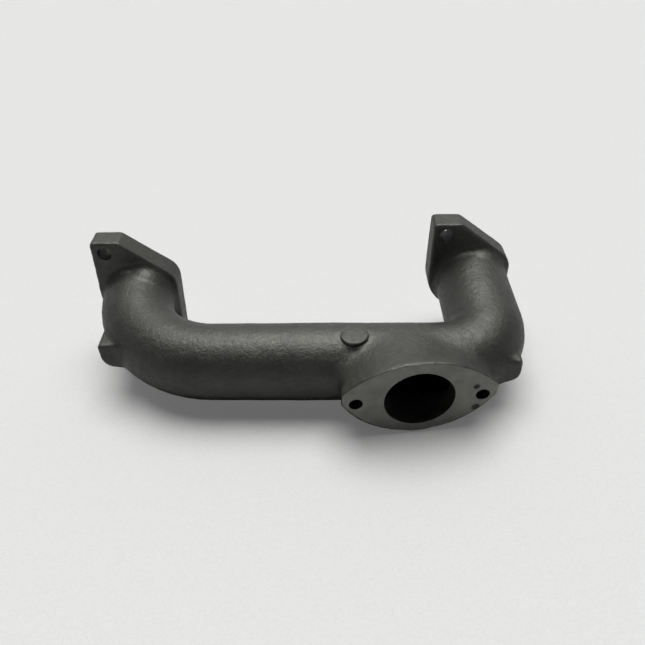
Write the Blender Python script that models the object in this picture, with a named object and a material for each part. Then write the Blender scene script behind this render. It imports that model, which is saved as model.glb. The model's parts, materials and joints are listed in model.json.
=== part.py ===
"""Two-port exhaust manifold: one iron casting with a blanking plug and two thread inserts.

The pieces are drawn round the midpoint between the two inlet flanges, on the machined
face that bolts to the engine. An empty then carries them along +Y, so that the part's
origin is the middle of the box round it. +X runs along the port line, +Y points into the
engine and +Z up. Left and right are those of a person who faces the outlet.
"""

import math

import bmesh
import bpy
from mathutils import Matrix, Vector

MM = 0.001

# From the middle of the part's box to the machined inlet faces.
INLET_FACE_Y = 62.5 * MM

# Inlet flanges: rhombic plates with an ear at the top left and one at the bottom right.
PORT_SPACING = 226 * MM
FLANGE_THICKNESS = 15 * MM
FLANGE_HALF_WIDTH = 27 * MM
FLANGE_HALF_HEIGHT = 41.8 * MM
EAR_WIDTH = 18.5 * MM
EAR_CORNER_RADIUS = 2.5 * MM
UPPER_SHOULDER_HEIGHT = 16 * MM
UPPER_SHOULDER_RADIUS = 15 * MM
LOWER_SHOULDER_HEIGHT = 9.5 * MM
LOWER_SHOULDER_RADIUS = 25 * MM
FLANGE_TURN = math.radians(3.5)
INLET_BOLT_ACROSS = 18 * MM
INLET_BOLT_UP = 33.8 * MM
INLET_HOLE_RADIUS = 4.75 * MM

# Tube from port to port: leg, elbow, log, elbow, leg.
TUBE_RADIUS = 23.8 * MM
BORE_RADIUS = 17.8 * MM
LOG_SET_OUT = 82.7 * MM
LOG_DROP = 8.3 * MM
LOG_TURN = math.radians(-4)
LEFT_CORNER_X = -112.5 * MM
RIGHT_CORNER_X = 116 * MM
LEFT_ELBOW_RADIUS = 62 * MM
RIGHT_ELBOW_RADIUS = 27 * MM
RIGHT_LEG_OFFSET = 2 * MM

# Outlet: a lens-shaped machined face on a neck that grows out of the log.
OUTLET_CENTRE = Vector((67.1 * MM, -121 * MM, -7.6 * MM))
OUTLET_TURN = math.radians(4.5)
OUTLET_DROP = math.radians(3)
OUTLET_ROLL = math.radians(-2)
OUTLET_BORE_RADIUS = 21 * MM
OUTLET_BOLT_SPACING = 73 * MM
OUTLET_HALF_HEIGHT = 28.3 * MM
OUTLET_EAR_RADIUS = 9.5 * MM
OUTLET_EAR_RISE = 3 * MM
OUTLET_EAR_TRIM = 1 * MM
OUTLET_HOLE_RADIUS = 3.8 * MM
OUTLET_HOLE_DEPTH = 10.5 * MM
NECK_DEPTH = 34 * MM
NECK_ROOT_HALF_WIDTH = 41 * MM
NECK_ROOT_HALF_HEIGHT = 21.5 * MM

# Wire thread inserts in the two outlet holes.
INSERT_OUTER_RADIUS = 3.5 * MM
INSERT_INNER_RADIUS = 2.9 * MM
INSERT_RECESS = 1.5 * MM
INSERT_LENGTH = 8 * MM

# Blanking plug on top of the log, left of the outlet.
PLUG_X = 32.3 * MM
PLUG_Y = -89.2 * MM
PLUG_TOP_Z = 16.4 * MM
PLUG_HEAD_RADIUS = 8.1 * MM
PLUG_HEAD_THICKNESS = 2.2 * MM
PLUG_SPIGOT_RADIUS = 5 * MM
PLUG_SPIGOT_LENGTH = 5 * MM
PLUG_EDGE_CHAMFER = 0.6 * MM

# Clamping lugs on the outside of the two elbows.
LUG_WIDTH = 22 * MM
LUG_HEIGHT = 18.5 * MM
LUG_LENGTH = 26 * MM
LUG_CORNER_RADIUS = 2 * MM
LUG_BELLY_RADIUS = 9 * MM
LEFT_LUG_CORNER = Vector((-128 * MM, -72 * MM, 3 * MM))
RIGHT_LUG_CORNER = Vector((130 * MM, -102 * MM, 0.5 * MM))

# Gussets: round bars that climb from the legs to the inlet flanges' slanted edges. On each
# one stands a low round pip, whose back sinks into the slope.
GUSSET_RADIUS = 16 * MM
GUSSET_RISE = 12.3 * MM
GUSSET_FOOT_RISE = 4 * MM
GUSSET_FOOT = 36 * MM
GUSSET_LEAN = math.radians(36)
PIP_RADIUS = 5.5 * MM
PIP_OUT = 1.5 * MM
PIP_LEAN = math.radians(22)
PIP_ROOT = 19 * MM
PIP_TOP = 23.2 * MM

FIT_GAP = 0.3 * MM
OVERLAP = 2 * MM
LEG_START = 6 * MM
OVERRUN = 20 * MM
TUBE_SIDES = 48
HOLE_SIDES = 32
ELBOW_STEPS = 14
ARC_STEPS = 8

LEFT = -1
RIGHT = 1


def clear_scene():
    for item in list(bpy.data.objects):
        bpy.data.objects.remove(item, do_unlink=True)


def make_material(name, colour, roughness, metallic):
    material = bpy.data.materials.new(name)
    material.use_nodes = True
    shader = material.node_tree.nodes["Principled BSDF"]
    shader.inputs["Base Color"].default_value = (*colour, 1)
    shader.inputs["Roughness"].default_value = roughness
    shader.inputs["Metallic"].default_value = metallic
    material.diffuse_color = (*colour, 1)
    return material


def object_from(bm, name):
    """Links the bmesh to the scene as an object whose faces point out."""
    bmesh.ops.recalc_face_normals(bm, faces=bm.faces)
    if bm.calc_volume(signed=True) < 0:
        bmesh.ops.reverse_faces(bm, faces=bm.faces)
    mesh = bpy.data.meshes.new(name)
    bm.to_mesh(mesh)
    bm.free()
    item = bpy.data.objects.new(name, mesh)
    bpy.context.scene.collection.objects.link(item)
    return item


def loft(name, rings):
    """A closed solid through rings of points that all hold the same number of points."""
    bm = bmesh.new()
    loops = [[bm.verts.new(point) for point in ring] for ring in rings]
    count = len(loops[0])
    for lower, upper in zip(loops, loops[1:]):
        for here in range(count):
            after = (here + 1) % count
            bm.faces.new((lower[here], lower[after], upper[after], upper[here]))
    bm.faces.new(loops[0])
    bm.faces.new(loops[-1])
    return object_from(bm, name)


def circle(frame, radius, sides):
    """Points on a circle in the local XY plane of a frame."""
    step = 2 * math.pi / sides
    return [
        frame @ Vector((radius * math.cos(n * step), radius * math.sin(n * step), 0))
        for n in range(sides)
    ]


def turned(name, frame, profile, sides=HOLE_SIDES):
    """A solid turned round the local Z axis; the profile lists (radius, height) pairs."""
    return loft(
        name,
        [circle(frame @ Matrix.Translation((0, 0, z)), radius, sides) for radius, z in profile],
    )


def prism(name, frame, outline, start, end):
    """An outline in the local XY plane, extruded along local Z."""
    rings = [[frame @ Vector((p.x, p.y, z)) for p in outline] for z in (start, end)]
    return loft(name, rings)


def rounded(corners, radii):
    """An outline whose corners are replaced by arcs of the given radii."""
    outline = []
    count = len(corners)
    for n, radius in enumerate(radii):
        corner = Vector(corners[n])
        before = (Vector(corners[n - 1]) - corner).normalized()
        after = (Vector(corners[(n + 1) % count]) - corner).normalized()
        half = before.angle(after) / 2
        centre = corner + (before + after).normalized() * radius / math.sin(half)
        start = corner + before * radius / math.tan(half) - centre
        end = corner + after * radius / math.tan(half) - centre
        sweep = start.angle_signed(end)
        for step in range(ARC_STEPS + 1):
            turn = Matrix.Rotation(-sweep * step / ARC_STEPS, 2)
            outline.append(centre + turn @ start)
    return outline


def boolean(target, tool, operation):
    modifier = target.modifiers.new(operation.lower() + "_" + tool.name, "BOOLEAN")
    modifier.operation = operation
    modifier.solver = "EXACT"
    modifier.object = tool
    tool.hide_render = True
    tool.display_type = "WIRE"


def shade_smooth(item, angle):
    item.data.shade_smooth()
    item.data.set_sharp_from_angle(angle=angle)


def inlet_frame(side):
    """Local X across the flange, local Y up it and local Z away from the engine."""
    centre = Matrix.Translation((side * PORT_SPACING / 2, 0, 0))
    turn = Matrix.Rotation(FLANGE_TURN, 4, "Y")
    upright = Matrix.Rotation(math.pi / 2, 4, "X")
    return centre @ turn @ upright


def inlet_outline():
    ear = [
        (EAR_WIDTH - FLANGE_HALF_WIDTH, FLANGE_HALF_HEIGHT),
        (-FLANGE_HALF_WIDTH, FLANGE_HALF_HEIGHT),
    ]
    upper = [(FLANGE_HALF_WIDTH, UPPER_SHOULDER_HEIGHT)] + ear
    lower = [(-FLANGE_HALF_WIDTH, -LOWER_SHOULDER_HEIGHT)] + [(-x, -y) for x, y in ear]
    ear_radii = [EAR_CORNER_RADIUS, EAR_CORNER_RADIUS]
    radii = [UPPER_SHOULDER_RADIUS] + ear_radii + [LOWER_SHOULDER_RADIUS] + ear_radii
    return rounded(upper + lower, radii)


def log_point(x):
    """The point of the log's axis at this X."""
    return Vector((x, x * math.tan(LOG_TURN) - LOG_SET_OUT, -LOG_DROP))


def leg_end(side):
    """Where a leg's axis meets the engine face; the right leg sits a little outboard."""
    outboard = RIGHT_LEG_OFFSET if side == RIGHT else 0
    return Vector((side * PORT_SPACING / 2 + outboard, 0, 0))


def elbow_points(side, corner_x, radius):
    """The elbow's centre line from its leg end to its log end."""
    corner = log_point(corner_x)
    to_leg = (leg_end(side) - corner).normalized()
    to_log = (log_point(0) - corner).normalized()
    half = to_leg.angle(to_log) / 2
    reach = radius / math.tan(half)
    centre = corner + (to_leg + to_log).normalized() * radius / math.sin(half)
    start = corner + to_leg * reach - centre
    end = corner + to_log * reach - centre
    axis = start.cross(end)
    sweep = start.angle(end)
    return [
        centre + Matrix.Rotation(sweep * step / ELBOW_STEPS, 3, axis) @ start
        for step in range(ELBOW_STEPS + 1)
    ]


def centre_line(past_ports):
    """Points from the left port to the right one, running past each port by this length."""
    left = elbow_points(LEFT, LEFT_CORNER_X, LEFT_ELBOW_RADIUS)
    right = elbow_points(RIGHT, RIGHT_CORNER_X, RIGHT_ELBOW_RADIUS)
    ends = []
    for side, elbow in ((LEFT, left), (RIGHT, right)):
        port = leg_end(side)
        ends.append(port + (port - elbow[0]).normalized() * past_ports)
    return [ends[0]] + left + right[::-1] + [ends[1]]


def tube(name, path, radius):
    """A solid round bar along a path that lies nearly flat."""
    rings = []
    for n, point in enumerate(path):
        behind = (point - path[max(n - 1, 0)]).normalized()
        ahead = (path[min(n + 1, len(path) - 1)] - point).normalized()
        along = (behind + ahead).normalized()
        across = Vector((0, 0, 1)).cross(along).normalized()
        frame = Matrix((across, along.cross(across), along)).transposed().to_4x4()
        rings.append(circle(Matrix.Translation(point) @ frame, radius, TUBE_SIDES))
    return loft(name, rings)


def outlet_frame():
    """Local X across the outlet face, local Y up it and local Z out of it."""
    turn = Matrix.Rotation(OUTLET_TURN, 4, "Z")
    drop = Matrix.Rotation(math.pi / 2 + OUTLET_DROP, 4, "X")
    roll = Matrix.Rotation(OUTLET_ROLL, 4, "Z")
    return Matrix.Translation(OUTLET_CENTRE) @ turn @ drop @ roll


def outlet_side(rise):
    """The outlet outline above its ears' centre line, which is this far above the middle.

    A large arc touches the two round ears, whose outer tips are trimmed flat.
    """
    ear = OUTLET_BOLT_SPACING / 2
    gap = OUTLET_HALF_HEIGHT - OUTLET_EAR_RADIUS - rise
    arc = (ear * ear + gap * gap) / (2 * gap) + OUTLET_EAR_RADIUS
    lean = math.asin(ear / (arc - OUTLET_EAR_RADIUS))
    trim = math.acos(1 - OUTLET_EAR_TRIM / OUTLET_EAR_RADIUS)
    crown = []
    for step in range(2 * ARC_STEPS + 1):
        turn = lean * (1 - step / ARC_STEPS)
        crown.append(Vector((arc * math.sin(turn), OUTLET_HALF_HEIGHT - arc * (1 - math.cos(turn)))))
    tip = []
    for step in range(1, ARC_STEPS):
        turn = math.pi / 2 + lean + (math.pi / 2 - lean - trim) * step / (ARC_STEPS - 1)
        tip.append(Vector((math.cos(turn), math.sin(turn))) * OUTLET_EAR_RADIUS + Vector((-ear, rise)))
    return [Vector((-p.x, p.y)) for p in reversed(tip)] + crown + tip


def outlet_outline():
    """Two trimmed round ears, set a little above the middle, and the arcs that join them."""
    return outlet_side(OUTLET_EAR_RISE) + [-p for p in outlet_side(-OUTLET_EAR_RISE)]


def neck(frame):
    """The body behind the outlet face, from the lens outline to an oval inside the log."""
    outline = outlet_outline()
    face = [frame @ Vector((p.x, p.y, 0)) for p in outline]
    root = []
    for p in outline:
        turn = math.atan2(p.y, p.x)
        across = NECK_ROOT_HALF_WIDTH * math.cos(turn)
        up = NECK_ROOT_HALF_HEIGHT * math.sin(turn)
        root.append(frame @ Vector((across, up, -NECK_DEPTH)))
    return loft("neck", [root, face])


def lug(name, side, corner):
    """A bar with a flat top and a round belly; the corner is its upper outer front one."""
    outline = rounded(
        [(0, 0), (-LUG_WIDTH, 0), (-LUG_WIDTH, -LUG_HEIGHT), (0, -LUG_HEIGHT)],
        [LUG_CORNER_RADIUS, LUG_CORNER_RADIUS, LUG_BELLY_RADIUS, LUG_BELLY_RADIUS],
    )
    outline = [Vector((side * p.x, p.y)) for p in outline]
    frame = Matrix.Translation(corner) @ Matrix.Rotation(math.pi / 2, 4, "X")
    return prism(name, frame, outline, -LUG_LENGTH, 0)


def gusset(name, side):
    """A bar from the flange's slanted edge down into the leg."""
    base = inlet_frame(side)
    lean = Vector((math.sin(GUSSET_LEAN), math.cos(GUSSET_LEAN), 0))
    top = lean * GUSSET_RISE + Vector((0, 0, FLANGE_THICKNESS - OVERLAP))
    drop = GUSSET_FOOT * LOG_DROP / LOG_SET_OUT
    foot = lean * GUSSET_FOOT_RISE + Vector((0, -drop, GUSSET_FOOT))
    ends = [base @ Matrix.Translation(end) for end in (top, foot)]
    return loft(name, [circle(end, GUSSET_RADIUS, TUBE_SIDES) for end in ends])


def pip(name, side):
    """A low round boss on the gusset's slope, with its top parallel to the port's axis."""
    place = inlet_frame(side) @ Matrix.Translation((0, 0, FLANGE_THICKNESS + PIP_OUT))
    upright = Matrix.Rotation(-PIP_LEAN, 4, "Z") @ Matrix.Rotation(-math.pi / 2, 4, "X")
    return turned(name, place @ upright, [(PIP_RADIUS, PIP_ROOT), (PIP_RADIUS, PIP_TOP)])


def plug_frame():
    return Matrix.Translation((PLUG_X, PLUG_Y, PLUG_TOP_Z))


def drill(target, name, frame, across, up, radius, depth):
    """A round hole that starts above the face of a frame and goes down into it."""
    place = frame @ Matrix.Translation((across, up, 0))
    boolean(target, turned(name, place, [(radius, -depth), (radius, OVERLAP)]), "DIFFERENCE")


def make_casting(material):
    casting = tube("manifold_casting", centre_line(-LEG_START), TUBE_RADIUS)
    outlet = outlet_frame()
    for side, name, corner in ((LEFT, "left", LEFT_LUG_CORNER), (RIGHT, "right", RIGHT_LUG_CORNER)):
        flange = prism(name + "_flange", inlet_frame(side), inlet_outline(), 0, FLANGE_THICKNESS)
        boolean(casting, flange, "UNION")
        boolean(casting, lug(name + "_lug", side, corner), "UNION")
        boolean(casting, gusset(name + "_gusset", side), "UNION")
        boolean(casting, pip(name + "_pip", side), "UNION")
    boolean(casting, neck(outlet), "UNION")

    head_seat = -PLUG_HEAD_THICKNESS - FIT_GAP
    pad = [(PLUG_HEAD_RADIUS, head_seat - PLUG_SPIGOT_LENGTH), (PLUG_HEAD_RADIUS, head_seat)]
    boolean(casting, turned("plug_pad", plug_frame(), pad), "UNION")
    boolean(casting, tube("passage", centre_line(OVERRUN), BORE_RADIUS), "DIFFERENCE")
    mouth = [(BORE_RADIUS - OVERLAP, -NECK_DEPTH), (OUTLET_BORE_RADIUS, OVERLAP)]
    boolean(casting, turned("outlet_mouth", outlet, mouth, TUBE_SIDES), "DIFFERENCE")
    for way, name in ((LEFT, "left"), (RIGHT, "right")):
        across = way * OUTLET_BOLT_SPACING / 2
        drill(casting, name + "_tapped_hole", outlet, across, 0, OUTLET_HOLE_RADIUS, OUTLET_HOLE_DEPTH)
        for end, place in ((-1, "upper"), (1, "lower")):
            drill(
                casting,
                name + "_" + place + "_bolt_hole",
                inlet_frame(way) @ Matrix.Translation((0, 0, FLANGE_THICKNESS)),
                end * INLET_BOLT_ACROSS,
                -end * INLET_BOLT_UP,
                INLET_HOLE_RADIUS,
                FLANGE_THICKNESS + OVERLAP,
            )
    drill(casting, "plug_seat", plug_frame(), 0, 0, PLUG_HEAD_RADIUS + FIT_GAP, -head_seat)
    drill(casting, "plug_hole", plug_frame(), 0, 0, PLUG_SPIGOT_RADIUS + FIT_GAP, OVERRUN)
    shade_smooth(casting, math.radians(30))
    casting.data.materials.append(material)


def make_plug(material):
    """A round head that covers the pad, on a spigot that fills the drilled hole."""
    under = -PLUG_HEAD_THICKNESS
    profile = [
        (PLUG_SPIGOT_RADIUS, under - PLUG_SPIGOT_LENGTH),
        (PLUG_SPIGOT_RADIUS, under),
        (PLUG_HEAD_RADIUS, under),
        (PLUG_HEAD_RADIUS, -PLUG_EDGE_CHAMFER),
        (PLUG_HEAD_RADIUS - PLUG_EDGE_CHAMFER, 0),
    ]
    plug = turned("top_plug", plug_frame(), profile)
    shade_smooth(plug, math.radians(30))
    plug.data.materials.append(material)


def make_insert(name, side, material):
    place = outlet_frame() @ Matrix.Translation((side * OUTLET_BOLT_SPACING / 2, 0, -INSERT_RECESS))
    ends = (-INSERT_LENGTH, 0)
    insert = turned(name, place, [(INSERT_OUTER_RADIUS, z) for z in ends])
    reach = (-INSERT_LENGTH - OVERLAP, OVERLAP)
    bore = turned(name + "_bore", place, [(INSERT_INNER_RADIUS, z) for z in reach])
    boolean(insert, bore, "DIFFERENCE")
    shade_smooth(insert, math.radians(30))
    insert.data.materials.append(material)


def hang_from_origin():
    """Moves all pieces, and what cuts them, from the inlet face to the middle of the box."""
    pieces = list(bpy.data.objects)
    carrier = bpy.data.objects.new("inlet_face_midpoint", None)
    carrier.location = (0, INLET_FACE_Y, 0)
    bpy.context.scene.collection.objects.link(carrier)
    for piece in pieces:
        piece.parent = carrier


def main():
    clear_scene()
    iron = make_material("cast_iron", (0.06, 0.062, 0.055), 0.6, 0.3)
    steel = make_material("steel", (0.2, 0.2, 0.19), 0.45, 0.9)
    make_casting(iron)
    make_plug(iron)
    make_insert("left_thread_insert", LEFT, steel)
    make_insert("right_thread_insert", RIGHT, steel)
    hang_from_origin()


main()
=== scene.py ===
"""The looks of a cast iron exhaust manifold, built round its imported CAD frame.

The casting's skin is grown from its CAD node. A level set of the node is closed by a
rolling ball, which gives the fillets of a sand casting, and opened by a small one, which
rounds its edges. The machined faces and the holes are then cut sharp again, so the blank
goes through the same steps as the real one. Lengths are in metres, except in the level
sets, which count in millimetres. +Z is up, in the frame's own axes.
"""

import json
import math

import bmesh
import bpy
import numpy as np
import openvdb
from mathutils import Matrix, Vector, noise


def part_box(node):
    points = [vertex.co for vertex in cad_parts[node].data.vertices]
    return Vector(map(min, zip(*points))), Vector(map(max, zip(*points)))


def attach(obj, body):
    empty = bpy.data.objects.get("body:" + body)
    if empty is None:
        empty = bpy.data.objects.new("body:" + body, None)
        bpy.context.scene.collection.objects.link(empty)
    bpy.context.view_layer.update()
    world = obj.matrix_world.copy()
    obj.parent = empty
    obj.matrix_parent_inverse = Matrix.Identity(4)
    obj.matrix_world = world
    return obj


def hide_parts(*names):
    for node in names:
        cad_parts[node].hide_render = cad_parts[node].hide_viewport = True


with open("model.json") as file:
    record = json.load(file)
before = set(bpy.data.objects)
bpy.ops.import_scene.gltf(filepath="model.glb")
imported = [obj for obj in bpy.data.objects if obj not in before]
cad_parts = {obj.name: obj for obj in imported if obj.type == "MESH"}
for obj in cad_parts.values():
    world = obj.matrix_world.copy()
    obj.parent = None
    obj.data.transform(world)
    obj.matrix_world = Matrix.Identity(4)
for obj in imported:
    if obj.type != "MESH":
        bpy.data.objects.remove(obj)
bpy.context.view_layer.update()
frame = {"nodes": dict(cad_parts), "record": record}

MM = 0.001

# Reading the CAD meshes: points closer than the first are one, and closer than the second
# to a plane lie on it.
MERGE = 1e-7
ON_PLANE = 2e-6
NARROW = 10 * MM
EAR_HEIGHT = 5 * MM

# The casting's skin, in millimetres: voxel, balls, and the blunt rim of the outlet face.
VOXEL = 0.7
FILLET_BALL = 4.5
NECK_BALL = 6.5
EDGE_BALL = 0.9
RIM_DEPTH = 1.2
RIM_DEPTH_ABOVE = 0.25
RIM_SLOPE = math.radians(30)
RIM_TURN = (-6.0, 4.0)
RIM_CLEAR = 5.0
SPARE = 1.5
BAND = math.ceil((NECK_BALL + EDGE_BALL + SPARE) / VOXEL)
BORDER = 2

# From where to where the neck's wide fillets give way to the narrow ones, and the stretch
# that is evened out: behind the outlet face, near the neck and clear of the plug.
NECK_REACH = (36.0, 56.0)
RELAX_ROUNDS = 180
RELAX_PULL = 0.5
RELAX_BEHIND = (5.0, 14.0)
RELAX_REACH = (50.0, 70.0)
RELAX_PLUG_CLEAR = (9.0, 15.0)

# The blank: stock on the faces to be milled, holes filled past their walls, and how deep the
# wall is under the plug's seat.
STOCK = 3.5
STOCK_ROOT = 1.0
HOLE_FILL = 0.8
SEAT_WALL = 3.6

# Waves in the sand skin: wavelength and height.
WAVES = ((16 * MM, 0.16 * MM), (5 * MM, 0.07 * MM))

# Holes and pits cut into the finished skin. A pit is its place on the outlet face, across
# and up from the bore's centre, and its radius, in millimetres. Its depth is a share of that.
HOLE_SIDES = 64
COUNTERSINK = 0.25 * MM
CUT_REACH = 6 * MM
SEAT_CLEARANCE = 0.3 * MM
PLUG_HOLE_DEPTH = 12 * MM
SHARP_ANGLE = math.radians(38)
PITS = ((32.1, 6.9, 1.9), (33.6, -10.2, 2.5))
PIT_DEPTH = 0.5
PIT_RINGS = 6
PIT_SIDES = 24

# Own pieces.
PLUG_DOME = 0.25 * MM
PLUG_ROUND = 0.9 * MM
PLUG_FOOT_GROOVE = 0.35 * MM
THREAD_PITCH = 1.25 * MM
WIRE_STEPS = 28
WIRE_HALF_HEIGHT = 0.5 * MM
INSERT_OUTER = 3.5 * MM
INSERT_INNER = 2.9 * MM
INSERT_LENGTH = 8 * MM
TAPPED_DEPTH = 10.5 * MM
PLUG_ARC_STEPS = 5

# Material slots of the casting.
# The gas passage's slot carries painted shade.
CAST, MACHINED, PASSAGE_SHADE, DRILLED = range(4)

# Colours, linear, then how strongly the floor shows a painted glow and how metallic the iron is.
IRON_DARK = (0.062, 0.064, 0.056)
IRON_LIGHT = (0.125, 0.128, 0.114)
# Pale edges: partly wear, partly a painted glint.
IRON_WEAR_AND_GLINT = (0.20, 0.20, 0.185)
# Painted shade in hollows and creases.
IRON_CREASE_SHADE = (0.030, 0.030, 0.026)
# Painted shade on faces that point down.
IRON_UNDERSIDE_SHADE = (0.012, 0.012, 0.010)
MILLED_DARK = (0.215, 0.218, 0.20)
MILLED_LIGHT = (0.38, 0.383, 0.352)
# Painted shade on the walls of the drilled holes.
HOLE_SHADE_DARK = (0.012, 0.012, 0.011)
HOLE_SHADE_LIGHT = (0.045, 0.045, 0.040)
# Painted shade in the gas passage.
PASSAGE_SHADE_DARK = (0.008, 0.008, 0.007)
PASSAGE_SHADE_LIGHT = (0.028, 0.026, 0.023)
STEEL_DARK = (0.03, 0.029, 0.027)
STEEL_LIGHT = (0.08, 0.075, 0.07)
FLOOR_DARK = (0.745, 0.745, 0.735)
FLOOR_LIGHT = (0.80, 0.80, 0.79)
# A painted glow, seen by the camera only, that lifts the floor's shadows.
FLOOR_GLOW = 0.105
IRON_METALLIC = 0.55

# Studio: a wide soft box overhead, nearly upright, and the light of a pale room.
KEY_STRENGTH = 2.35
KEY_WIDTH = math.radians(52)
KEY_TOWARD = Vector((0.04, 0.30, 1.0))
ROOM_FRONT = (0.06, 0.06, 0.06)
ROOM_BACK = (0.50, 0.51, 0.51)
ROOM_SEEN = (0.78, 0.78, 0.77)
BOUNCE_SHADE = 0.45
FLOOR_HALF = 4.0
FLOOR_GAP = 0.3 * MM
HEEL_TO_TOE = 60 * MM

# Camera: the angles and the place of the reference view, in the part's own frame.
CAMERA_PLACE = Vector((23.01, -326.14, 259.74)) * MM
CAMERA_YAW = math.radians(-1.70)
CAMERA_PITCH = math.radians(37.92)
CAMERA_ROLL = math.radians(-3.93)
CAMERA_SENSOR = 36
CAMERA_LENS = 36.84

SPACE = openvdb.createLinearTransform(voxelSize=VOXEL)


# --- Reading the frame ---


def mount(name):
    return next(m for m in frame["record"]["mounts"] if m["name"] == name)


def mesh_of(node):
    """A bmesh of a CAD node with its split corners joined again."""
    bm = bmesh.new()
    bm.from_mesh(frame["nodes"][node].data)
    bmesh.ops.remove_doubles(bm, verts=bm.verts, dist=MERGE)
    return bm


def rings_on(bm, point, normal):
    """The outlines of a mesh's flat faces on a plane, as lists of points."""
    flat = set()
    for face in bm.faces:
        if all(abs((v.co - point).dot(normal)) < ON_PLANE for v in face.verts):
            flat.add(face)
    rim = {}
    for face in flat:
        for loop in face.loops:
            if sum(f in flat for f in loop.edge.link_faces) == 1:
                rim[loop.vert] = loop.link_loop_next.vert
    rings = []
    while rim:
        here = next(iter(rim))
        ring = []
        while here in rim:
            ring.append(here.co.copy())
            here = rim.pop(here)
        rings.append(ring)
    return rings


def centre_of(ring):
    return sum(ring, Vector()) / len(ring)


def radius_of(ring):
    centre = centre_of(ring)
    return sum((p - centre).length for p in ring) / len(ring)


def frame_at(place, out, across):
    """A matrix with local Z along out and local X near across."""
    z = out.normalized()
    x = (across - z * across.dot(z)).normalized()
    return Matrix.Translation(place) @ Matrix((x, z.cross(x), z)).transposed().to_4x4()


# --- Level sets ---


class Field:
    """Signed distances in millimetres on a box of voxels, negative inside the iron."""

    def __init__(self, low, shape):
        self.low = low
        self.shape = shape
        self.values = None

    def distances(self, points, **faces):
        """Fills the box with the distances to a closed mesh of triangles or quads."""
        grid = openvdb.FloatGrid.createLevelSetFromPolygons(
            points, transform=SPACE, halfWidth=BAND, **faces
        )
        self.values = np.empty(self.shape, np.float32)
        grid.copyToArray(self.values, ijk=self.low)

    def surface(self, level):
        """Points and quads of the surface at this distance."""
        grid = openvdb.FloatGrid(float(BAND * VOXEL))
        grid.copyFromArray(self.values, ijk=self.low)
        grid.transform = SPACE
        return grid.convertToQuads(level)

    def offset(self, level):
        """Moves the skin to this distance and measures all distances afresh."""
        points, quads = self.surface(level)
        self.distances(points, quads=quads)

    def places(self):
        """Coordinates of the voxels as three arrays that broadcast to the box."""
        axes = [(np.arange(n) + low) * VOXEL for n, low in zip(self.shape, self.low)]
        return np.meshgrid(*axes, indexing="ij", sparse=True)

    def fill(self, place, axis, radius, length):
        """Adds a round bar that runs back from place against axis."""
        x, y, z = self.places()
        dx, dy, dz = x - place.x, y - place.y, z - place.z
        along = dx * axis.x + dy * axis.y + dz * axis.z
        across = np.sqrt(np.maximum(dx * dx + dy * dy + dz * dz - along * along, 0))
        bar = np.maximum(across - radius, np.abs(along + length / 2) - length / 2)
        self.values = np.minimum(self.values, bar.astype(np.float32))

    def grow_stock(self, place, axis):
        """Carries the shape just behind a machined plane straight on past it."""
        x, y, z = self.places()
        height = (x - place.x) * axis.x + (y - place.y) * axis.y + (z - place.z) * axis.z
        beyond = np.nonzero(height > -STOCK_ROOT)
        back = (height[beyond] + STOCK_ROOT) / VOXEL
        sampled = self.sample([index - back * step for index, step in zip(beyond, axis)])
        self.values[beyond] = np.maximum(sampled, height[beyond] - STOCK)

    def blunt_rim(self, centre, axis, up, inner_radius):
        """Blunts the outer edge of a machined face, less along its upper half."""
        x, y, z = self.places()
        dx, dy, dz = x - centre.x, y - centre.y, z - centre.z
        height = dx * axis.x + dy * axis.y + dz * axis.z
        across = np.sqrt(np.maximum(dx * dx + dy * dy + dz * dz - height * height, 0))
        above = smoothstep(dx * up.x + dy * up.y + dz * up.z, *RIM_TURN)
        depth = RIM_DEPTH + (RIM_DEPTH_ABOVE - RIM_DEPTH) * above
        slope = self.values * math.sin(RIM_SLOPE) + (height + depth) * math.cos(RIM_SLOPE)
        near = (height > -2 * RIM_DEPTH) & (across > inner_radius)
        blunted = np.where(near, np.maximum(self.values, slope), self.values)
        self.values = blunted.astype(np.float32)

    def sample(self, spots):
        """Values between voxels, at fractional indices kept just inside the last voxel."""
        spots = [np.clip(s, 0, n - 1.001) for s, n in zip(spots, self.shape)]
        base = [s.astype(int) for s in spots]
        part = [s - b for s, b in zip(spots, base)]
        total = 0
        for corner in np.ndindex(2, 2, 2):
            weight = 1
            for p, c in zip(part, corner):
                weight = weight * (p if c else 1 - p)
            total = total + weight * self.values[tuple(b + c for b, c in zip(base, corner))]
        return total


def field_of(bm):
    bmesh.ops.triangulate(bm, faces=bm.faces)
    bm.verts.index_update()
    points = np.array([v.co for v in bm.verts], np.float32) / MM
    triangles = np.array([[v.index for v in f.verts] for f in bm.faces], np.uint32)
    margin = math.ceil(STOCK / VOXEL) + BAND + BORDER
    low = np.floor(points.min(0) / VOXEL).astype(int) - margin
    high = np.ceil(points.max(0) / VOXEL).astype(int) + margin
    field = Field(tuple(int(n) for n in low), tuple(int(n) for n in high - low))
    field.distances(points, triangles=triangles)
    return field


def smoothstep(values, start, end):
    t = np.clip((values - start) / (end - start), 0, 1)
    return t * t * (3 - 2 * t)


def cast(field, plan):
    """Rolls balls over the shape: fillets in its corners, wider ones round the neck, round edges.

    The outlet's rim is blunted before its edge is rounded, since it is left from the sand.
    """
    neck = plan.outlet.translation / MM
    sharp = field.values
    closed = []
    for ball in (FILLET_BALL, NECK_BALL):
        field.values = sharp
        field.offset(ball)
        closed.append(field.values + ball)
    narrow, wide = closed
    x, y, z = field.places()
    apart = np.sqrt((x - neck.x) ** 2 + (y - neck.y) ** 2 + (z - neck.z) ** 2)
    share = smoothstep(apart, *NECK_REACH).astype(np.float32)
    field.values = wide * (1 - share) + narrow * share
    up = plan.outlet.col[1].xyz
    field.blunt_rim(neck, plan.outlet_plane[1], up, plan.bore_radius / MM + RIM_CLEAR)
    field.offset(-EDGE_BALL)
    points, quads = field.surface(EDGE_BALL)
    relax(points, quads, root_share(points, plan))
    return points, quads


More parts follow.
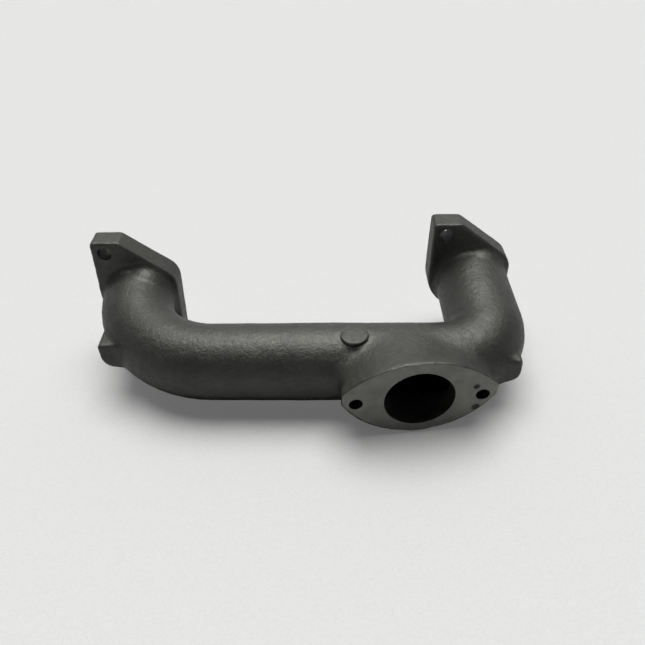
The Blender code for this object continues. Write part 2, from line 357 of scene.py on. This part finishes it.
def root_share(points, plan):
    """How far each point belongs to the neck's root, which a pattern maker blends by hand."""
    offset = points - np.array(plan.outlet.translation) / MM
    behind = -(offset @ np.array(plan.outlet_plane[1]))
    apart = np.linalg.norm(offset, axis=1)
    from_plug = np.linalg.norm(points[:, :2] - np.array(plan.plug_centre.xy) / MM, axis=1)
    share = smoothstep(behind, *RELAX_BEHIND) * (1 - smoothstep(apart, *RELAX_REACH))
    return share * smoothstep(from_plug, *RELAX_PLUG_CLEAR)


def relax(points, quads, share):
    """Evens out creases: pulls each point again and again to the middle of its neighbours."""
    edges = np.concatenate([quads[:, [n, (n + 1) % 4]] for n in range(4)]).astype(int)
    starts, ends = edges[share[edges[:, 0]] > 0].T
    moved = np.unique(starts)
    slots = np.searchsorted(moved, starts)
    count = np.bincount(slots)
    pull = RELAX_PULL * share[moved]
    for _ in range(RELAX_ROUNDS):
        for axis in range(3):
            middle = np.bincount(slots, points[ends, axis]) / count
            points[moved, axis] += pull * (middle - points[moved, axis])


# --- The casting ---


def flat_face_fill(bm, place, axis):
    """Mills the blank down to a plane and closes it with machined faces."""
    everything = bm.verts[:] + bm.edges[:] + bm.faces[:]
    cut = bmesh.ops.bisect_plane(
        bm, geom=everything, dist=MERGE, plane_co=place, plane_no=axis, clear_outer=True
    )
    rim = [e for e in cut["geom_cut"] if isinstance(e, bmesh.types.BMEdge) and e.is_boundary]
    made = bmesh.ops.triangle_fill(bm, edges=rim, use_beauty=True, use_dissolve=False)
    for face in made["geom"]:
        if isinstance(face, bmesh.types.BMFace):
            face.material_index = MACHINED


def ripple(points):
    """Cast skin is never quite even: long low waves and short lower ones, along the normal."""
    return [
        sum(height * noise.noise(p / length) for length, height in WAVES) for p in points
    ]


def mark_passage_shade(bm):
    """Marks the gas passage for its painted shade: the skin that only machined faces join to the
    outside.
    """
    left = {f for f in bm.faces if f.material_index != MACHINED}
    patches = []
    while left:
        stack = [left.pop()]
        patch = []
        while stack:
            face = stack.pop()
            patch.append(face)
            for edge in face.edges:
                for other in edge.link_faces:
                    if other in left:
                        left.remove(other)
                        stack.append(other)
        patches.append(patch)
    patches.sort(key=len)
    for patch in patches[:-1]:
        for face in patch:
            face.material_index = PASSAGE_SHADE


def skin_mesh(points, quads, planes):
    mesh = bpy.data.meshes.new("casting_skin")
    mesh.from_pydata((points * MM).tolist(), [], quads[:, ::-1].tolist())
    mesh.update()
    normals = np.empty(len(points) * 3, np.float32)
    mesh.vertex_normals.foreach_get("vector", normals)
    normals = normals.reshape(-1, 3)
    places = points.astype(float) * MM
    lift = np.array(ripple([Vector(p) for p in places]))
    places += normals * lift[:, None]
    mesh.vertices.foreach_set("co", places.astype(np.float32).ravel())
    bm = bmesh.new()
    bm.from_mesh(mesh)
    if bm.calc_volume(signed=True) < 0:
        bmesh.ops.reverse_faces(bm, faces=bm.faces)
    for place, axis in planes:
        flat_face_fill(bm, place, axis)
    mark_passage_shade(bm)
    bm.to_mesh(mesh)
    bm.free()
    return mesh


def lathe(bm, place, profile, sides, material=CAST):
    """Adds a closed turned solid; the profile lists (radius, height) from the bottom up."""
    rings = []
    for radius, height in profile:
        ring = []
        for n in range(sides):
            turn = 2 * math.pi * n / sides
            spot = Vector((radius * math.cos(turn), radius * math.sin(turn), height))
            ring.append(bm.verts.new(place @ spot))
        rings.append(ring)
    faces = [bm.faces.new(rings[0][::-1]), bm.faces.new(rings[-1])]
    for lower, upper in zip(rings, rings[1:]):
        for n in range(sides):
            after = (n + 1) % sides
            faces.append(bm.faces.new((lower[n], lower[after], upper[after], upper[n])))
    for face in faces:
        face.material_index = material


def drill(bm, place, radius, depth):
    """A drill with a countersink, its mouth on the local XY plane."""
    wide = radius + COUNTERSINK + CUT_REACH
    profile = [(radius, -depth), (radius, -COUNTERSINK), (wide, CUT_REACH)]
    lathe(bm, place, profile, HOLE_SIDES, DRILLED)


def pit(bm, place, radius):
    """A shallow round bottomed flaw; the radius is that of its mouth."""
    depth = radius * PIT_DEPTH
    ball = (radius * radius + depth * depth) / (2 * depth)
    mouth = math.asin(radius / ball)
    profile = []
    for n in range(1, PIT_RINGS + 1):
        turn = mouth * n / PIT_RINGS
        profile.append((ball * math.sin(turn), ball * (1 - math.cos(turn)) - depth))
    lathe(bm, place, profile + [(radius, CUT_REACH)], PIT_SIDES, CAST)


def cut(item, cutter_bm):
    mesh = bpy.data.meshes.new("cutter")
    cutter_bm.to_mesh(mesh)
    cutter_bm.free()
    for material in item.data.materials:
        mesh.materials.append(material)
    cutter = bpy.data.objects.new("cutter", mesh)
    bpy.context.scene.collection.objects.link(cutter)
    modifier = item.modifiers.new("cut", "BOOLEAN")
    modifier.operation = "DIFFERENCE"
    modifier.solver = "MANIFOLD"
    modifier.object = cutter
    result = bpy.data.meshes.new_from_object(
        item.evaluated_get(bpy.context.evaluated_depsgraph_get())
    )
    item.modifiers.clear()
    item.data = result
    bpy.data.objects.remove(cutter)


def shade(item, angle):
    item.data.shade_smooth()
    item.data.set_sharp_from_angle(angle=angle)


def add_piece(name, data, node):
    item = bpy.data.objects.new(name, data)
    bpy.context.scene.collection.objects.link(item)
    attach(item, "root")
    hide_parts(node)
    return item


def plug_levels():
    """Heights of the plug's rings from its foot up, with their radii."""
    low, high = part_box("top_plug")
    centre = (low + high) / 2
    widths = {}
    for vertex in frame["nodes"]["top_plug"].data.vertices:
        height = round(vertex.co.z, 6)
        across = math.hypot(vertex.co.x - centre.x, vertex.co.y - centre.y)
        widths[height] = max(widths.get(height, 0), across)
    return centre, sorted(widths.items())


def flange_back(bm):
    """Where the near sides of the inlet flanges are, read off the tips of their upper ears."""
    top = max(v.co.z for v in bm.verts)
    return min(v.co.y for v in bm.verts if top - v.co.z < EAR_HEIGHT)


class Plan:
    """Where the machined faces and the holes are, as the CAD casting has them."""

    def __init__(self, bm):
        outlet = mount("outlet_face")
        self.inlet_plane = (Vector(mount("inlet_face_left")["pos_m"]), Vector((0, 1, 0)))
        self.outlet_plane = (Vector(outlet["pos_m"]), Vector(outlet["axis"]).normalized())
        inlets = rings_on(bm, *self.inlet_plane)
        outlets = rings_on(bm, *self.outlet_plane)
        self.bolt_holes = [r for r in inlets if radius_of(r) < NARROW]
        self.tapped = [r for r in outlets if radius_of(r) < NARROW]
        self.tapped.sort(key=lambda r: centre_of(r).x)
        bore = min((r for r in outlets if radius_of(r) > NARROW), key=radius_of)
        across = centre_of(self.tapped[1]) - centre_of(self.tapped[0])
        self.outlet = frame_at(centre_of(bore), self.outlet_plane[1], across)
        self.bore_radius = radius_of(bore)
        self.flange_thickness = self.inlet_plane[0].y - flange_back(bm)
        self.plug_centre, levels = plug_levels()
        (self.plug_foot, self.spigot_radius), (self.plug_under, self.head_radius) = levels[:2]
        self.plug_top = levels[-1][0]
        self.seat = self.plug_under - SEAT_CLEARANCE

    def upright(self, height):
        return Matrix.Translation((self.plug_centre.x, self.plug_centre.y, height))


def blank(bm, plan):
    """The casting as it leaves the sand: holes filled, and stock on the faces to be milled."""
    field = field_of(bm)
    for ring in plan.bolt_holes:
        radius = radius_of(ring) / MM + HOLE_FILL
        field.fill(centre_of(ring) / MM, plan.inlet_plane[1], radius, plan.flange_thickness / MM)
    for ring in plan.tapped:
        radius = radius_of(ring) / MM + HOLE_FILL
        field.fill(centre_of(ring) / MM, plan.outlet_plane[1], radius, TAPPED_DEPTH / MM)
    seat = Vector((plan.plug_centre.x, plan.plug_centre.y, plan.seat)) / MM
    radius = (plan.spigot_radius + SEAT_CLEARANCE) / MM + HOLE_FILL
    field.fill(seat, Vector((0, 0, 1)), radius, SEAT_WALL)
    for place, axis in (plan.inlet_plane, plan.outlet_plane):
        field.grow_stock(place / MM, axis)
    field.offset(0.0)
    return field


def drills(plan):
    """All that is cut into the milled casting, as one set of solids."""
    bm = bmesh.new()
    for ring in plan.bolt_holes:
        place = frame_at(centre_of(ring), plan.inlet_plane[1], Vector((1, 0, 0)))
        drill(bm, place, radius_of(ring), CUT_REACH + plan.flange_thickness)
    for ring in plan.tapped:
        place = frame_at(centre_of(ring), plan.outlet_plane[1], Vector((1, 0, 0)))
        drill(bm, place, radius_of(ring), TAPPED_DEPTH)
    head = plan.head_radius + SEAT_CLEARANCE
    lathe(bm, plan.upright(plan.seat), [(head, 0), (head, CUT_REACH)], HOLE_SIDES)
    for across, up, radius in PITS:
        pit(bm, plan.outlet @ Matrix.Translation(Vector((across, up, 0)) * MM), radius * MM)
    return bm


def plug_drill(plan):
    """The hole for the plug's spigot, cut after its seat."""
    bm = bmesh.new()
    radius = plan.spigot_radius + SEAT_CLEARANCE
    lathe(bm, plan.upright(plan.seat), [(radius, -PLUG_HOLE_DEPTH), (radius, CUT_REACH)], HOLE_SIDES)
    return bm


def make_casting(plan, bm, materials):
    points, quads = cast(blank(bm, plan), plan)
    mesh = skin_mesh(points, quads, (plan.inlet_plane, plan.outlet_plane))
    for material in materials:
        mesh.materials.append(material)
    item = add_piece("casting_skin", mesh, "manifold_casting")
    cut(item, drills(plan))
    cut(item, plug_drill(plan))
    shade(item, SHARP_ANGLE)


# --- The small pieces ---


def make_plug(plan, material):
    """A disc with a round edge and a slightly domed top, on its spigot."""
    head = plan.head_radius
    thickness = plan.plug_top - plan.plug_under
    profile = [
        (plan.spigot_radius, plan.plug_foot - plan.plug_under),
        (plan.spigot_radius, 0),
        (head - PLUG_FOOT_GROOVE, 0),
        (head - PLUG_FOOT_GROOVE, PLUG_FOOT_GROOVE),
        (head, 2 * PLUG_FOOT_GROOVE),
    ]
    shoulder = thickness - PLUG_DOME - PLUG_ROUND
    for n in range(PLUG_ARC_STEPS + 1):
        turn = math.pi / 2 * n / PLUG_ARC_STEPS
        radius = head - PLUG_ROUND + PLUG_ROUND * math.cos(turn)
        profile.append((radius, shoulder + PLUG_ROUND * math.sin(turn)))
    rest = head - PLUG_ROUND
    for n in range(1, PLUG_ARC_STEPS):
        share = n / PLUG_ARC_STEPS
        profile.append((rest * (1 - share), thickness - PLUG_DOME * (1 - share) ** 2))
    bm = bmesh.new()
    lathe(bm, plan.upright(plan.plug_under), profile, HOLE_SIDES)
    mesh = bpy.data.meshes.new("plug")
    bm.to_mesh(mesh)
    bm.free()
    mesh.materials.append(material)
    shade(add_piece("plug", mesh, "top_plug"), SHARP_ANGLE)


def wire_coil(bm, place):
    """A coil of diamond-section wire round local Z, centred on the place."""
    turns = int(INSERT_LENGTH / THREAD_PITCH)
    middle = (INSERT_OUTER + INSERT_INNER) / 2
    half = (INSERT_OUTER - INSERT_INNER) / 2
    section = ((half, 0), (0, WIRE_HALF_HEIGHT), (-half, 0), (0, -WIRE_HALF_HEIGHT))
    rings = []
    for n in range(turns * WIRE_STEPS + 1):
        turn = 2 * math.pi * n / WIRE_STEPS
        height = THREAD_PITCH * (n / WIRE_STEPS - turns / 2)
        ring = []
        for out, up in section:
            radius = middle + out
            spot = Vector((radius * math.cos(turn), radius * math.sin(turn), height + up))
            ring.append(bm.verts.new(place @ spot))
        rings.append(ring)
    for lower, upper in zip(rings, rings[1:]):
        for n in range(len(lower)):
            after = (n + 1) % len(lower)
            bm.faces.new((lower[n], upper[n], upper[after], lower[after]))
    bm.faces.new(rings[0])
    bm.faces.new(rings[-1][::-1])
    bmesh.ops.recalc_face_normals(bm, faces=bm.faces)


def make_insert(name, node, ring, axis, material):
    """A wire thread insert, at the depth of its CAD node in the tapped hole."""
    low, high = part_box(node)
    centre = centre_of(ring)
    depth = (centre - (low + high) / 2).dot(axis)
    bm = bmesh.new()
    wire_coil(bm, frame_at(centre - axis * depth, axis, Vector((1, 0, 0))))
    mesh = bpy.data.meshes.new(name)
    bm.to_mesh(mesh)
    bm.free()
    mesh.materials.append(material)
    shade(add_piece(name, mesh, node), SHARP_ANGLE)


# --- Materials ---


class Shader:
    """A node tree that is written as nested calls."""

    def __init__(self, name):
        self.material = bpy.data.materials.new(name)
        self.material.use_nodes = True
        self.tree = self.material.node_tree
        self.shader = self.tree.nodes["Principled BSDF"]
        self.place = self.add("ShaderNodeTexCoord").outputs["Object"]

    def add(self, kind, inputs=None, **settings):
        node = self.tree.nodes.new(kind)
        for key, value in settings.items():
            setattr(node, key, value)
        for key, value in (inputs or {}).items():
            self.feed(node.inputs[key], value)
        return node

    def feed(self, socket, value):
        if isinstance(value, bpy.types.NodeSocket):
            self.tree.links.new(value, socket)
        else:
            socket.default_value = value

    def noise(self, wavelength, detail=3.0, roughness=0.55, place=None):
        inputs = {
            "Vector": place or self.place,
            "Scale": 1 / wavelength,
            "Detail": detail,
            "Roughness": roughness,
        }
        return self.add("ShaderNodeTexNoise", inputs).outputs["Fac"]

    def ramp(self, value, *stops):
        """Each stop is a position and a grey level or a colour."""
        node = self.add("ShaderNodeValToRGB", {"Fac": value})
        elements = node.color_ramp.elements
        while len(elements) < len(stops):
            elements.new(0.5)
        for element, (position, colour) in zip(elements, stops):
            grey = isinstance(colour, (int, float))
            element.position = position
            element.color = (colour, colour, colour, 1) if grey else (*colour, 1)
        return node.outputs["Color"]

    def math(self, operation, *values):
        return self.add("ShaderNodeMath", dict(enumerate(values)), operation=operation).outputs[0]

    def blend(self, *terms):
        """The sum of values, each multiplied by its share."""
        total = 0.0
        for share, value in terms:
            total = self.math("MULTIPLY_ADD", value, share, total)
        return total

    def mix(self, share, first, second):
        """The node keeps the sockets of its colours at 6 and 7."""
        node = self.add("ShaderNodeMix", data_type="RGBA")
        for socket, value in zip((0, 6, 7), (share, first, second)):
            self.feed(node.inputs[socket], value)
        return node.outputs[2]

    def bump(self, height, distance, strength=1.0, normal=None):
        inputs = {"Height": height, "Distance": distance, "Strength": strength}
        if normal:
            inputs["Normal"] = normal
        return self.add("ShaderNodeBump", inputs).outputs["Normal"]

    def finish(self, colour, roughness, metallic, normal=None):
        self.feed(self.shader.inputs["Base Color"], colour)
        self.feed(self.shader.inputs["Roughness"], roughness)
        self.feed(self.shader.inputs["Metallic"], metallic)
        if normal:
            self.feed(self.shader.inputs["Normal"], normal)
        return self.material


def cast_iron(name):
    """Shot-blasted grey iron: grain and mottling, edges paled by wear and a painted glint, and painted
    shade in corners and on undersides.
    """
    s = Shader(name)
    surface = s.add("ShaderNodeNewGeometry").outputs
    edge = surface["Pointiness"]
    way = s.add("ShaderNodeSeparateXYZ", {0: surface["Normal"]}).outputs
    grain = s.noise(0.8 * MM, 4, 0.7)
    tone = s.blend((0.45, s.noise(22 * MM, 4)), (0.2, s.noise(5 * MM)), (0.35, grain))
    colour = s.ramp(tone, (0.30, IRON_DARK), (0.70, IRON_LIGHT))
    # Convex edges paled: partly wear, partly a painted glint.
    edge_wear_and_glint = s.math("MULTIPLY", s.ramp(edge, (0.515, 0), (0.56, 1)), 0.5)
    colour = s.mix(edge_wear_and_glint, colour, (*IRON_WEAR_AND_GLINT, 1))
    # Painted shade in hollows and creases, where pointiness is low.
    crease_shade = s.math("MULTIPLY", s.ramp(edge, (0.44, 1), (0.49, 0)), 0.45)
    colour = s.mix(crease_shade, colour, (*IRON_CREASE_SHADE, 1))
    # Painted shade on faces that point down.
    down = s.math("MULTIPLY", way["Z"], -1.0)
    underside_shade = s.math("MULTIPLY", s.ramp(down, (0.32, 0), (0.55, 1)), 0.8)
    colour = s.mix(underside_shade, colour, (*IRON_UNDERSIDE_SHADE, 1))
    rough = s.ramp(s.noise(3 * MM), (0.3, 0.29), (0.7, 0.50))
    coarse = s.bump(s.noise(2.6 * MM, 3, 0.6), distance=0.36 * MM, strength=0.9)
    fine = s.bump(grain, distance=0.20 * MM, normal=coarse)
    return s.finish(colour, rough, IRON_METALLIC, fine)


def milled_iron(name):
    """A milled face: fine cutter marks, dull grey with a few darker stains."""
    s = Shader(name)
    along_cut = {"Vector": s.place, "Scale": (0.12, 1, 1)}
    stretched = s.add("ShaderNodeMapping", along_cut).outputs["Vector"]
    marks = s.noise(0.5 * MM, 3, 0.6, stretched)
    stain = s.noise(9 * MM, 4, 0.6)
    tone = s.blend((0.3, marks), (0.7, stain))
    colour = s.ramp(tone, (0.3, MILLED_DARK), (0.68, MILLED_LIGHT))
    rough = s.ramp(stain, (0.3, 0.42), (0.7, 0.56))
    return s.finish(colour, rough, IRON_METALLIC, s.bump(marks, distance=0.04 * MM, strength=0.7))


def passage_shade_iron(name):
    """The gas passage: dry, rough and painted nearly black, as the shade deep inside it."""
    s = Shader(name)
    colour = s.ramp(s.noise(4 * MM, 4, 0.6), (0.35, PASSAGE_SHADE_DARK), (0.7, PASSAGE_SHADE_LIGHT))
    normal = s.bump(s.noise(1.4 * MM, 4, 0.65), distance=0.3 * MM)
    return s.finish(colour, roughness=0.95, metallic=0.0, normal=normal)


def hole_wall_shade(name):
    """The walls of the holes: painted nearly black, as the shade inside them."""
    s = Shader(name)
    colour = s.ramp(s.noise(1.8 * MM), (0.35, HOLE_SHADE_DARK), (0.7, HOLE_SHADE_LIGHT))
    normal = s.bump(s.noise(0.7 * MM, 2), distance=0.05 * MM)
    return s.finish(colour, roughness=0.45, metallic=IRON_METALLIC, normal=normal)


def spring_steel(name):
    """The inserts' wire, brown from heat."""
    s = Shader(name)
    colour = s.ramp(s.noise(1.5 * MM), (0.3, STEEL_DARK), (0.7, STEEL_LIGHT))
    return s.finish(colour, roughness=0.4, metallic=0.9)


def studio_floor_material(name):
    """Pale board with a faint speckle.

    The camera sees a little painted glow in it, which lifts the shadows on it. The
    part is lit from below by a duller board.
    """
    s = Shader(name)
    seen = s.add("ShaderNodeLightPath").outputs["Is Camera Ray"]
    colour = s.ramp(s.noise(1.2 * MM, 2), (0.3, FLOOR_DARK), (0.7, FLOOR_LIGHT))
    colour = s.mix(seen, (BOUNCE_SHADE, BOUNCE_SHADE, BOUNCE_SHADE, 1), colour)
    s.feed(s.shader.inputs["Specular IOR Level"], 0.1)
    s.feed(s.shader.inputs["Emission Color"], (1, 1, 1, 1))
    # Painted glow for camera rays, lifting the floor's shadows.
    s.feed(s.shader.inputs["Emission Strength"], s.math("MULTIPLY", seen, FLOOR_GLOW))
    return s.finish(colour, roughness=0.9, metallic=0.0)


# --- Studio ---


def resting_plane(nodes):
    """Height at y = 0 and slope along Y of the floor that the part stands on."""
    spots = np.concatenate([[tuple(v.co) for v in n.data.vertices] for n in nodes])
    heel = spots[spots[:, 2].argmin()]
    toes = spots[spots[:, 1] < heel[1] - HEEL_TO_TOE]
    slope = ((heel[2] - toes[:, 2]) / (heel[1] - toes[:, 1])).max()
    return heel[2] - slope * heel[1], slope


def make_floor():
    height, slope = resting_plane(frame["nodes"].values())
    mesh = bpy.data.meshes.new("floor")
    spots = []
    for x, y in ((-1, -1), (1, -1), (1, 1), (-1, 1)):
        spots.append((x * FLOOR_HALF, y * FLOOR_HALF, height + slope * y * FLOOR_HALF - FLOOR_GAP))
    mesh.from_pydata(spots, [], [(0, 1, 2, 3)])
    mesh.materials.append(studio_floor_material("floor_board"))
    floor = bpy.data.objects.new("floor", mesh)
    bpy.context.scene.collection.objects.link(floor)


def make_key():
    data = bpy.data.lights.new("overhead_soft_box", "SUN")
    data.energy = KEY_STRENGTH
    data.angle = KEY_WIDTH
    light = bpy.data.objects.new("overhead_soft_box", data)
    light.rotation_euler = KEY_TOWARD.to_track_quat("Z", "Y").to_euler()
    bpy.context.scene.collection.objects.link(light)


def make_room():
    """A room that is dark in front of the part and pale behind it; the camera sees a pale wall."""
    world = bpy.data.worlds.new("studio")
    world.use_nodes = True
    bpy.context.scene.world = world
    nodes, links = world.node_tree.nodes, world.node_tree.links
    way = nodes.new("ShaderNodeTexCoord")
    split = nodes.new("ShaderNodeSeparateXYZ")
    room = nodes.new("ShaderNodeValToRGB")
    room.color_ramp.elements[0].color = (*ROOM_FRONT, 1)
    room.color_ramp.elements[1].color = (*ROOM_BACK, 1)
    rays = nodes.new("ShaderNodeLightPath")
    seen = nodes.new("ShaderNodeMixRGB")
    seen.inputs["Color2"].default_value = (*ROOM_SEEN, 1)
    links.new(way.outputs["Generated"], split.inputs[0])
    links.new(split.outputs["Y"], room.inputs[0])
    links.new(rays.outputs["Is Camera Ray"], seen.inputs["Fac"])
    links.new(room.outputs[0], seen.inputs["Color1"])
    links.new(seen.outputs[0], nodes["Background"].inputs["Color"])
    bpy.context.scene.view_settings.view_transform = "Standard"


def make_camera():
    yaw, pitch = CAMERA_YAW, CAMERA_PITCH
    ahead = Vector((math.sin(yaw) * math.cos(pitch), math.cos(yaw) * math.cos(pitch), -math.sin(pitch)))
    level = Vector((math.cos(yaw), -math.sin(yaw), 0))
    roll = Matrix.Rotation(-CAMERA_ROLL, 3, ahead)
    right = roll @ level
    up = right.cross(ahead)
    data = bpy.data.cameras.new("camera")
    data.sensor_width = CAMERA_SENSOR
    data.lens = CAMERA_LENS
    data.clip_start = 10 * MM
    camera = bpy.data.objects.new("camera", data)
    turn = Matrix((right, up, -ahead)).transposed().to_4x4()
    camera.matrix_world = Matrix.Translation(CAMERA_PLACE) @ turn
    bpy.context.scene.collection.objects.link(camera)
    bpy.context.scene.camera = camera


def main():
    bm = mesh_of("manifold_casting")
    plan = Plan(bm)
    iron = cast_iron("cast_iron")
    irons = (iron, milled_iron("milled_iron"), passage_shade_iron("passage_shade_iron"), hole_wall_shade("hole_wall_shade"))
    make_casting(plan, bm, irons)
    make_plug(plan, cast_iron("plug_iron"))
    steel = spring_steel("spring_steel")
    for side, ring in zip(("left", "right"), plan.tapped):
        node = side + "_thread_insert"
        make_insert(side + "_insert_coil", node, ring, plan.outlet_plane[1], steel)
    make_floor()
    make_key()
    make_room()
    make_camera()


main()
